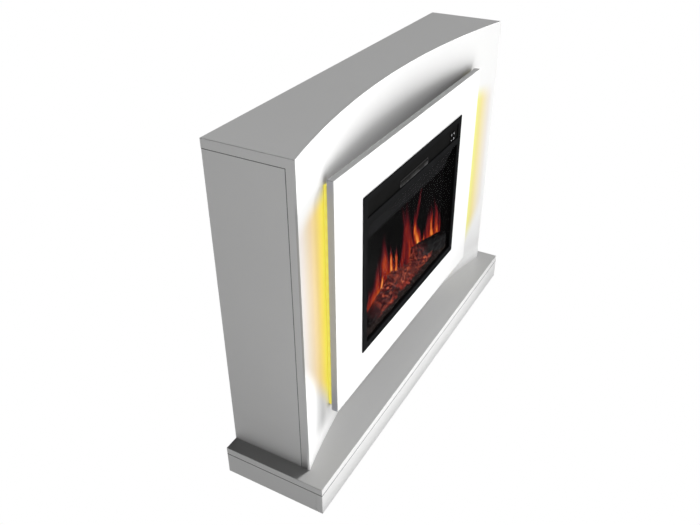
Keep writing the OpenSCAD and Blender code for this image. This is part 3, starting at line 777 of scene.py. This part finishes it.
SLOT_MATERIALS = {
    "white_lacquer": make_lacquer(),
    "raw_fibreboard": make_fibreboard(),
    "hardboard": make_hardboard(),
    "beech": make_beech(),
    "grey_plastic": make_plastic("nylon_grey", srgb(158, 158, 160), 0.5),
    "white_plastic": make_plastic("moulded_white", srgb(232, 232, 228), 0.45),
    "black_plastic": make_plastic("moulded_black", grey(0.0075), 0.55, specular=0.002),
    "button_plastic": make_plastic("button_black", grey(0.006), 0.5, specular=0.006),
    "dark_grille": make_grille(),
    "black_steel": make_powder_coat("black_powder_coat", grey(0.0080, (0.98, 1.0, 1.05)), 0.6, 0.002),
    "zinc_sheet": make_galvanised(),
    "zinc_screw": make_brushed("zinc_screw", grey(0.60), 0.32, (60.0, 1.0, 1.0)),
    "motor_steel": make_brushed("motor_steel", grey(0.42), 0.35, (60.0, 1.0, 1.0)),
    "aluminium": make_brushed("aluminium", grey(0.72), 0.3, (1.0, 1.0, 0.2)),
    "mirror_sheet": make_brushed("mirror_sheet", grey(0.88), 0.14, (0.3, 8.0, 8.0)),
    "diode_strip": make_diodes(),
    "milky_cover": make_diffuser(),
    "glass": make_glass(),
    "circuit_board": make_circuit_board(),
    "brass_plate": make_brushed("motor_can", (0.62, 0.47, 0.22, 1.0), 0.35, (60.0, 1.0, 1.0)),
    "bronze_bush": make_brushed("sintered_bronze", (0.52, 0.34, 0.16, 1.0), 0.45, (8.0, 8.0, 8.0)),
    "heater_fins": make_brushed("heater_fins", grey(0.66), 0.4, (1.0, 4.0, 4.0)),
    "ceramic_white": make_ceramic(),
    "flame_screen": make_flames(),
    "ember_resin": make_coals(),
    "log_resin": make_log("log_plain", 0.10, 0.0, 0.10, 0.34, 0.04, 0.5),
}
FRONT_RADIUS, FRONT_CENTRE_Y = front_arc()
BODY_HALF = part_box("curved_front")[1].x
FRONT_JOINT_Y = FRONT_CENTRE_Y + math.sqrt((FRONT_RADIUS + FRONT_BOARD) ** 2 - BODY_HALF**2)
SIDE_LACQUER = make_jointed_lacquer(
    "side_lacquer", [(1, FRONT_JOINT_Y), (2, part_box("top_slab")[0].z)], foot_glow=0.05
)
HEARTH_LACQUER = make_jointed_lacquer("hearth_lacquer", [(2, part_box("hearth_top")[0].z)])
CHANNEL = make_channel()
NODE_MATERIALS = {
    "left_side": SIDE_LACQUER,
    "right_side": SIDE_LACQUER,
    "hearth_front": HEARTH_LACQUER,
    "hearth_left_side": HEARTH_LACQUER,
    "hearth_right_side": HEARTH_LACQUER,
    "centre_panel": make_panel_lacquer(),
    "curved_front": make_lit_lacquer(),
    "firebox_case": make_case(),
    "left_led_channel": CHANNEL,
    "right_led_channel": CHANNEL,
}


def dress(obj, material):
    obj.data.materials.clear()
    obj.data.materials.append(material)


for part in frame["record"]["subparts"]:
    name = part["node"]
    dress(nodes[name], NODE_MATERIALS.get(name, SLOT_MATERIALS[part["material_slot"]]))


# ---- helpers for meshes ----


def add_object(name, data):
    """A new object in the scene, made from a mesh, a light or a camera."""
    obj = bpy.data.objects.new(name, data)
    bpy.context.scene.collection.objects.link(obj)
    return obj


def new_piece(name, vertices, faces, material, body=BODY, smooth=True):
    """A mesh in the model's coordinates that rides on a body and carries the given material."""
    mesh = bpy.data.meshes.new(name)
    mesh.from_pydata([tuple(v) for v in vertices], [], faces)
    mesh.validate()
    mesh.polygons.foreach_set("use_smooth", [smooth] * len(mesh.polygons))
    mesh.materials.append(material)
    mesh.update()
    obj = add_object(name, mesh)
    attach(obj, body)
    return obj


def lerp(a, b, t):
    return a + (b - a) * t


def clamp(value, low, high):
    return max(low, min(high, value))


# ---- fire bed ----

screen_low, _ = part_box("flame_screen")
_, glass_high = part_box("glass_pane")
bed_low, bed_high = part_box("ember_bed")
GLASS_GAP = 0.0006
SCREEN_GAP = 0.0004
BED_FRONT = glass_high.y + GLASS_GAP
BED_BACK = screen_low.y - SCREEN_GAP
BED_HALF = bed_high.x - GLASS_GAP
RIDGE_OCTAVES = 4

LOG_RING_STEP = 0.0022
LOG_SPOKES = 72
LOG_BEND = 0.0035
# The broken end of a log: share of the rim's radius and height of each step, then the height
# of the tip and of the splinters
LOG_END_STEPS = [(0.72, 0.0018), (0.42, 0.0012), (0.16, 0.0022)]
LOG_END_TIP = 0.0020
LOG_SPLINTER = 0.0012


def between_panes(point):
    """The point, moved so that it lies between the glass and the screen."""
    point.y = clamp(point.y, BED_FRONT, BED_BACK)
    return point


def ridged(point):
    """Ridged fractal noise from 0 to 1 at a point."""
    total = 0.0
    weight = 0.5
    for octave in range(RIDGE_OCTAVES):
        total += weight * (1.0 - abs(noise.noise(point * 2**octave)) * 2)
        weight /= 2
    return clamp(total, 0.0, 1.0)


def log_surface(start, end, start_radius, end_radius, seed):
    """Vertices and faces of one charred log, kept between the glass and the screen."""
    along = end - start
    axis = along.normalized()
    side = axis.cross(Vector((0, 1, 0))).normalized()
    deep = side.cross(axis)
    rings = int(along.length / LOG_RING_STEP)
    spokes = LOG_SPOKES
    shift = Vector((seed * 3.7, seed * 1.3, seed * 5.1))
    vertices = []
    faces = []

    def bark(far, angle):
        """Radius `far` metres along the log, as a share of its plain radius."""
        across, into = math.cos(angle), math.sin(angle)
        ridge = ridged((Vector((far * 14, across, into)) + shift) * 1.9)
        block = noise.voronoi(Vector((far * 55, across * 2.4, into * 2.4)) + shift)[0]
        plate = clamp(block[1] - block[0], 0.0, 0.35) / 0.35
        lump = noise.noise(Vector((far * 9, angle * 0.2, seed)))
        return 0.80 + 0.15 * ridge + 0.07 * plate + 0.09 * lump

    for ring in range(rings + 1):
        t = ring / rings
        radius = lerp(start_radius, end_radius, t)
        bend = LOG_BEND * math.sin(t * math.pi * 1.3 + seed)
        for spoke in range(spokes):
            angle = 2 * math.pi * spoke / spokes
            reach = radius * bark(t * along.length, angle)
            point = start + along * t + side * (math.cos(angle) * reach + bend)
            point += deep * (math.sin(angle) * reach)
            vertices.append(between_panes(point))
    for ring in range(rings):
        for spoke in range(spokes):
            a = ring * spokes + spoke
            b = ring * spokes + (spoke + 1) % spokes
            faces.append((a, a + spokes, b + spokes, b))
    for ring, sign in ((0, -1.0), (rings, 1.0)):
        rim = [ring * spokes + spoke for spoke in range(spokes)]
        centre = sum((vertices[i] for i in rim), Vector()) / spokes
        previous = rim
        for share, bulge in LOG_END_STEPS:
            inner = []
            for i in rim:
                rough = LOG_SPLINTER * noise.noise(vertices[i] * 260 + shift)
                point = centre + (vertices[i] - centre) * share + axis * (sign * bulge + rough)
                inner.append(len(vertices))
                vertices.append(between_panes(point))
            for spoke in range(spokes):
                nxt = (spoke + 1) % spokes
                quad = (previous[spoke], previous[nxt], inner[nxt], inner[spoke])
                faces.append(quad if sign < 0 else quad[::-1])
            previous = inner
        tip = len(vertices)
        vertices.append(centre + axis * (sign * LOG_END_TIP))
        for spoke in range(spokes):
            triangle = (previous[spoke], previous[(spoke + 1) % spokes], tip)
            faces.append(triangle if sign < 0 else triangle[::-1])
    return vertices, faces


# Name, ends a and b (mm), radius at each (mm), and the look: ash shade, then the middle,
# half width, top and depth of the embers' red light painted on it (m), and that light's strength
LOGS = [
    ("log_right_long", (52, -55, 364), (262, -62, 318), 23, 28,
     0.034, (0.030, 0.060, 0.420, 0.05, 1.10)),
    ("log_left_long", (-240, -63, 309), (-66, -59, 366), 15, 19,
     0.026, (-0.100, 0.100, 0.420, 0.03, 1.00)),
    ("log_across", (-96, -60, 366), (70, -65, 328), 19, 17,
     0.024, (-0.010, 0.120, 0.430, 0.03, 1.15)),
    ("log_front_right", (46, -67, 334), (156, -68, 318), 15, 14,
     0.022, (0.085, 0.095, 0.390, 0.02, 1.30)),
    ("log_front_left", (-218, -67, 317), (-112, -68, 328), 13, 15,
     0.020, (-0.112, 0.064, 0.336, 0.02, 2.20)),
]

for number, (name, a, b, radius_a, radius_b, ash, glow) in enumerate(LOGS):
    vertices, faces = log_surface(
        Vector(a) * MM, Vector(b) * MM, radius_a * MM, radius_b * MM, number + 1.0
    )
    log = new_piece(name, vertices, faces, make_log(name + "_char", ash, *glow))
    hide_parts("log_set")


# Columns of the bed's mesh, rows between the corners of its profile, cells to the metre,
# and the height of a lump and of the grit on it
BED_COLUMNS = 360
BED_ROWS = [6, 12, 14]
BED_CELLS = 62
BED_LUMP = 0.0052
BED_GRIT = 0.0010
BED_LIFT = 0.0004
BED_TOE = 0.0045


def bed_path():
    """Points down the middle of the bed, from the foot of its front up to its back edge."""
    floor = bed_low.z
    corners = [
        Vector((0, BED_FRONT + BED_TOE, floor + BED_LIFT)),
        Vector((0, BED_FRONT + BED_TOE, floor + 0.0100)),
        Vector((0, BED_FRONT + 0.0150, floor + 0.0210)),
        Vector((0, BED_BACK, floor + 0.0300)),
    ]
    path = []
    for index, count in enumerate(BED_ROWS):
        for i in range(count):
            path.append(corners[index].lerp(corners[index + 1], i / count))
    return path + [corners[-1]]


def bed_surface():
    """Closed bed of coals: a stepped profile whose face swells into lumps."""
    path = bed_path()
    rows = len(path)
    vertices = []
    for column in range(BED_COLUMNS + 1):
        x = lerp(-BED_HALF, BED_HALF, column / BED_COLUMNS)
        for i, base in enumerate(path):
            t = i / (rows - 1)
            cell = noise.voronoi(Vector((x, base.y * 1.4, base.z)) * BED_CELLS)[0]
            lump = 1.0 - clamp(cell[0] / 0.62, 0.0, 1.0) ** 2
            grit = noise.noise(Vector((x, base.y, base.z)) * 330)
            out = BED_LUMP * lump + BED_GRIT * grit if 0 < i < rows - 1 else 0.0
            y = base.y - out * (1.0 - 0.6 * t)
            z = base.z + out * (0.25 + 0.9 * t)
            vertices.append(between_panes(Vector((x, y, z))))
    faces = []
    for column in range(BED_COLUMNS):
        for row in range(rows - 1):
            a = column * rows + row
            faces.append((a, a + rows, a + rows + 1, a + 1))
    back_left = len(vertices)
    back_right = back_left + 1
    for x in (-BED_HALF, BED_HALF):
        vertices.append(Vector((x, BED_BACK, bed_low.z + BED_LIFT)))
    last = BED_COLUMNS * rows
    bottom = range(last, -1, -rows)
    top = range(rows - 1, last + rows, rows)
    faces.append((*bottom, back_left, back_right))
    faces.append((*top, back_right, back_left))
    faces.append((*range(rows), back_left))
    faces.append((*range(last + rows - 1, last - 1, -1), back_right))
    return vertices, faces


vertices, faces = bed_surface()
bed = new_piece("coal_bed", vertices, faces, SLOT_MATERIALS["ember_resin"])
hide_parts("ember_bed")


LUMP_RINGS = 9
LUMP_SPOKES = 14
LUMP_SIZES = (0.0042, 0.0078)
# Height of the lumps over the foot of the bed, in front and at the back
LUMP_HEIGHTS = (0.015, 0.033)
END_MARGIN = 0.012


def lump_vertex(ring, spoke):
    """Number of a vertex in one lump, whose first and last ring are single points."""
    if ring == 0:
        return 0
    if ring == LUMP_RINGS:
        return 1 + (LUMP_RINGS - 1) * LUMP_SPOKES
    return 1 + (ring - 1) * LUMP_SPOKES + spoke % LUMP_SPOKES


def coal_lumps(count, seed):
    """Loose coals lying on the bed, each an irregular faceted lump."""
    draw = random.Random(seed)
    twist = math.pi * (3 - math.sqrt(5)) * 0.1
    vertices = []
    faces = []
    for _ in range(count):
        x = draw.uniform(-BED_HALF + END_MARGIN, BED_HALF - END_MARGIN)
        share = draw.random()
        y = lerp(BED_FRONT + 0.008, BED_BACK - 0.006, share)
        z = bed_low.z + lerp(*LUMP_HEIGHTS, share)
        size = draw.uniform(*LUMP_SIZES)
        stretch = Vector((draw.uniform(0.8, 1.5), draw.uniform(0.7, 1.0), draw.uniform(0.6, 0.95)))
        turn = Matrix.Rotation(draw.uniform(0, math.pi), 3, "Z")
        shift = Vector((draw.random(), draw.random(), draw.random())) * 20
        first = len(vertices)
        for ring in range(LUMP_RINGS + 1):
            polar = math.pi * ring / LUMP_RINGS
            flat = math.sin(polar)
            for spoke in range(LUMP_SPOKES if 0 < ring < LUMP_RINGS else 1):
                angle = 2 * math.pi * spoke / LUMP_SPOKES + ring * twist
                way = Vector((flat * math.cos(angle), flat * math.sin(angle), math.cos(polar)))
                facet = noise.voronoi(way * 1.6 + shift)[0][0]
                reach = size * (0.82 + 0.45 * facet + 0.12 * noise.noise(way * 4 + shift))
                point = Vector((x, y, z)) + (turn @ (way * stretch)) * reach
                vertices.append(between_panes(point))
        for ring in range(LUMP_RINGS):
            for spoke in range(LUMP_SPOKES):
                corners = [(ring, spoke), (ring + 1, spoke), (ring + 1, spoke + 1), (ring, spoke + 1)]
                loop = dict.fromkeys(first + lump_vertex(*corner) for corner in corners)
                faces.append(tuple(loop))
    return vertices, faces


vertices, faces = coal_lumps(count=110, seed=7)
new_piece(
    "loose_coals", vertices, faces, SLOT_MATERIALS["ember_resin"], smooth=False
)


# ---- symbols on the buttons ----

SYMBOL = make_plastic("pale_print", srgb(196, 196, 200), 0.5)
PRINT_DEPTH = 0.00015
STROKE = 0.0009
BAR_WIDTH = 0.0064
BAR_HEIGHT = 0.0014
ARC_STEPS = 28
FLAME_STEPS = 40


def flat_shape(outlines, centre, front):
    """Thin raised print: closed outlines in the XZ plane, each a list of (x, z) points."""
    vertices = []
    faces = []
    for outline in outlines:
        first = len(vertices)
        count = len(outline)
        for y in (front - PRINT_DEPTH, front + PRINT_DEPTH / 2):
            for x, z in outline:
                vertices.append(Vector((centre[0] + x, y, centre[1] + z)))
        faces.append(tuple(range(first, first + count)))
        faces.append(tuple(range(first + count, first + 2 * count))[::-1])
        for i in range(count):
            j = (i + 1) % count
            faces.append((first + j, first + i, first + count + i, first + count + j))
    return vertices, faces


def bar(z, width, height):
    """Upright rectangle whose middle is `z` over the middle of the button."""
    left, right = -width / 2, width / 2
    low, high = z - height / 2, z + height / 2
    return [(left, low), (right, low), (right, high), (left, high)]


def arc_band(radius, thickness, start, end):
    """Band along a circle from start to end degrees."""
    outline = []
    for reach, way in ((radius + thickness / 2, 1), (radius - thickness / 2, -1)):
        edge = []
        for i in range(ARC_STEPS + 1):
            angle = math.radians(lerp(start, end, i / ARC_STEPS))
            edge.append((reach * math.cos(angle), reach * math.sin(angle)))
        outline += edge[::way]
    return outline


def flame_outline(size):
    """Drop with a pointed top."""
    points = []
    for i in range(FLAME_STEPS):
        angle = 2 * math.pi * i / FLAME_STEPS
        pinch = math.sin(angle / 2) ** 1.6
        points.append((size * 0.62 * math.sin(angle) * pinch, size * (math.cos(angle) - 0.1)))
    return points[::-1]


SYMBOLS = {
    "power_button": [arc_band(0.0029, STROKE, 120, 420), bar(0.0026, STROKE, 0.0030)],
    "flame_button": [flame_outline(0.0036)],
    "low_heat_button": [bar(0, BAR_WIDTH, BAR_HEIGHT)],
    "high_heat_button": [bar(z, BAR_WIDTH, BAR_HEIGHT) for z in (0.0015, -0.0015)],
}
for button, outlines in SYMBOLS.items():
    low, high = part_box(button)
    centre = ((low.x + high.x) / 2, (low.z + high.z) / 2)
    vertices, faces = flat_shape(outlines, centre, low.y)
    new_piece(button + "_symbol", vertices, faces, SYMBOL, body=button, smooth=False)


# ---- studio ----

# Places of the floor's grid lines on both sides of the middle, and its height
FLOOR_LINES = [0.0, 0.3, 0.6, 0.9, 1.3, 1.8, 2.5, 3.5, 5.0, 8.0, 14.0, 25.0, 40.0]
FLOOR_Z = -0.0003
# Light that the floor throws up: everywhere, and what its bright part in front adds. That
# part starts at one y, is full at another, and opens like a fan from two places in x. The
# last two pairs are the slopes at which the fan's sides fade in
SIDE_GLOW = 0.56
FRONT_GLOW = 2.55
GLOW_START_Y = -0.15
GLOW_FULL_Y = -0.48
GLOW_LEFT_X = -0.60
GLOW_RIGHT_X = 0.45
FAN_LEFT = (1.1, 0.35)
FAN_RIGHT = (0.8, -0.1)
# Surroundings: direction of their bright part, the cosines at which it starts and is full,
# and the levels outside and inside it
BRIGHT_WAY = (-0.12, -0.98, 0.12)
BRIGHT_START = 0.72
BRIGHT_FULL = 0.98
WORLD_DIM = 0.012
WORLD_BRIGHT = 1.3
CAMERA_AZIMUTH = -60.56
CAMERA_ELEVATION = 32.42
CAMERA_ROLL = -0.28
CAMERA_LENS = 37.79
CAMERA_PLACE = (-1.6155, -0.7905, 1.493)


def camera_or(graph, seen, lit):
    """Level that is `seen` to the camera and `lit` to everything else."""
    path = graph.add("ShaderNodeLightPath")
    level = graph.add("ShaderNodeMapRange")
    graph.feed(level.inputs["Value"], path.outputs["Is Camera Ray"])
    graph.feed(level.inputs["To Max"], seen)
    graph.feed(level.inputs["To Min"], lit)
    return level.outputs["Result"]


def make_floor():
    """Pale floor that throws soft light up at the front, less of it towards the right."""
    lines = [-value for value in FLOOR_LINES[:0:-1]] + FLOOR_LINES
    count = len(lines)
    vertices = [(x, y, FLOOR_Z) for y in lines for x in lines]
    faces = []
    for row in range(count - 1):
        for column in range(count - 1):
            a = row * count + column
            faces.append((a, a + 1, a + count + 1, a + count))
    mesh = bpy.data.meshes.new("floor")
    mesh.from_pydata(vertices, [], faces)
    floor = add_object("floor", mesh)
    paint = Paint("studio_floor", grey(0.0), 1.0, specular=0.0)
    x, y, _ = paint.axes()
    ahead = paint.math("MAXIMUM", paint.math("SUBTRACT", GLOW_START_Y, y), 0.05)
    left = paint.math("DIVIDE", paint.math("SUBTRACT", GLOW_LEFT_X, x), ahead)
    right = paint.math("DIVIDE", paint.math("SUBTRACT", x, GLOW_RIGHT_X), ahead)
    spread = paint.product(paint.fade(left, *FAN_LEFT), paint.fade(right, *FAN_RIGHT))
    glow = paint.product(paint.fade(y, GLOW_START_Y, GLOW_FULL_Y), spread)
    level = paint.math("MULTIPLY_ADD", glow, FRONT_GLOW, SIDE_GLOW)
    made = paint.add("ShaderNodeEmission")
    paint.feed(made.inputs["Strength"], camera_or(paint, 1.0, level))
    output = paint.tree.nodes["Material Output"]
    paint.feed(output.inputs["Surface"], made.outputs["Emission"])
    mesh.materials.append(paint.material)


def sun_light(name, travel, strength, degrees):
    lamp = bpy.data.lights.new(name, "SUN")
    lamp.energy = strength
    lamp.angle = math.radians(degrees)
    obj = add_object(name, lamp)
    obj.rotation_euler = Vector(travel).to_track_quat("-Z", "Y").to_euler()


def make_world():
    """Dim studio surroundings, brighter low in front, which the camera sees as plain white."""
    world = bpy.data.worlds.new("studio")
    world.use_nodes = True
    graph = Graph(world.node_tree)
    toward = graph.add("ShaderNodeTexCoord")
    facing = graph.add("ShaderNodeVectorMath", operation="DOT_PRODUCT")
    graph.feed(facing.inputs[0], toward.outputs["Generated"])
    graph.feed(facing.inputs[1], BRIGHT_WAY)
    share = graph.fade(facing.outputs["Value"], BRIGHT_START, BRIGHT_FULL)
    level = graph.math("MULTIPLY_ADD", share, WORLD_BRIGHT - WORLD_DIM, WORLD_DIM)
    background = graph.tree.nodes["Background"]
    background.inputs["Color"].default_value = grey(1.0)
    graph.feed(background.inputs["Strength"], camera_or(graph, 1.0, level))
    bpy.context.scene.world = world


def make_camera():
    """Camera at the height and angle from which the fireplace is pictured."""
    azimuth = math.radians(CAMERA_AZIMUTH)
    elevation = math.radians(CAMERA_ELEVATION)
    roll = math.radians(CAMERA_ROLL)
    flat = math.cos(elevation)
    back = Vector((math.sin(azimuth) * flat, -math.cos(azimuth) * flat, math.sin(elevation)))
    level = Vector((math.cos(azimuth), math.sin(azimuth), 0))
    upright = back.cross(level)
    right = level * math.cos(roll) + upright * math.sin(roll)
    up = back.cross(right)
    data = bpy.data.cameras.new("camera")
    data.sensor_width = 36.0
    data.lens = CAMERA_LENS
    data.clip_end = 200.0
    camera = add_object("camera", data)
    turn = Matrix((right, up, back)).transposed().to_4x4()
    camera.matrix_world = Matrix.Translation(CAMERA_PLACE) @ turn
    bpy.context.scene.camera = camera


make_floor()
make_world()
make_camera()
sun_light("key_from_right", travel=(-0.86, 0.27, -0.43), strength=2.30, degrees=11.0)
sun_light("soft_from_right", travel=(-0.80, 0.26, -0.54), strength=0.6, degrees=44.0)
bpy.context.scene.view_settings.view_transform = "Standard"
bpy.context.scene.cycles.diffuse_bounces = 0
